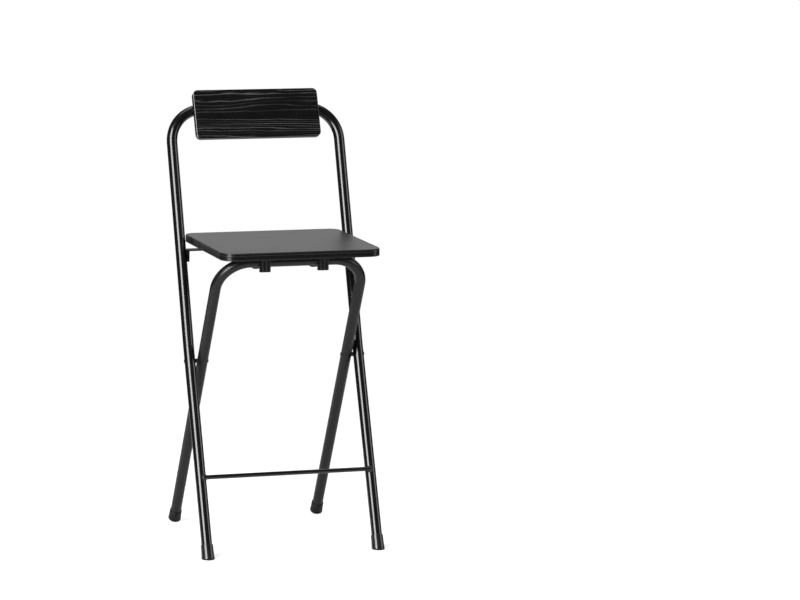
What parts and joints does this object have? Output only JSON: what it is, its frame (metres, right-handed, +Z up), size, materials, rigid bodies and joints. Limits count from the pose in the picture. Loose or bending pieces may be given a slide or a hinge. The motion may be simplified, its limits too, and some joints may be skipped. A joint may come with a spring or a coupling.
{
  "type": "folding bar stool",
  "caption": "Folding bar stool with a low backrest: two crossed tube frames on a common pivot, a flat seat hooked on the rear legs' crossbar, a round footrest rod and moulded feet.",
  "frame": {"origin": "on the floor, at the middle of the whole stool's plan", "axes": "+Z up, +Y from the stool's front to its back, +X to the right of someone who stands in front of the stool and looks at it"},
  "size_m": [0.3852, 0.4357, 0.9146],
  "materials": {
    "black_enamel": "gloss black stove enamel",
    "grey_enamel": "satin dark grey enamel",
    "bracket_enamel": "satin black enamel",
    "board_core": "black dyed fibreboard, lacquered edge",
    "laminate": "black laminate, satin sheen with a faint grain",
    "dark_plastic": "moulded black plastic",
    "foot_plastic": "moulded dark rubber-like plastic",
    "black_rivet": "blackened steel",
    "zinc_steel": "zinc plated"
  },
  "bodies": {
    "back": {"back_frame": "black_enamel", "footrest_rod": "black_enamel", "footrest_welds": "black_enamel", "backrest_board": "board_core", "backrest_sheet": "laminate", "backrest_screws": "zinc_steel", "pivot_rivets": "black_rivet", "pivot_spacers": "dark_plastic", "hinge_rivets": "black_rivet", "hinge_washers": "dark_plastic", "front_foot_left": "foot_plastic", "front_foot_right": "foot_plastic"},
    "legs": {"leg_frame": "grey_enamel", "rear_foot_left": "foot_plastic", "rear_foot_right": "foot_plastic"},
    "seat": {"seat_board": "board_core", "seat_sheet": "laminate", "seat_bracket": "bracket_enamel", "bracket_screws": "zinc_steel", "seat_clip_left": "dark_plastic", "seat_clip_right": "dark_plastic", "clip_screws": "zinc_steel"}
  },
  "joints": [
    {"name": "leg_fold", "type": "hinge", "parent": "back", "child": "legs", "pos_m": [0, -0.0135, 0.379], "axis": [-1, 0, 0], "range_deg": [0, 46.5]},
    {"name": "seat_fold", "type": "hinge", "parent": "back", "child": "seat", "pos_m": [0, 0.05856, 0.585], "axis": [-1, 0, 0], "range_deg": [0, 91]}
  ],
  "couplings": [
    {"joint": "seat_fold", "follows": "leg_fold", "ratio": 1.957}
  ]
}
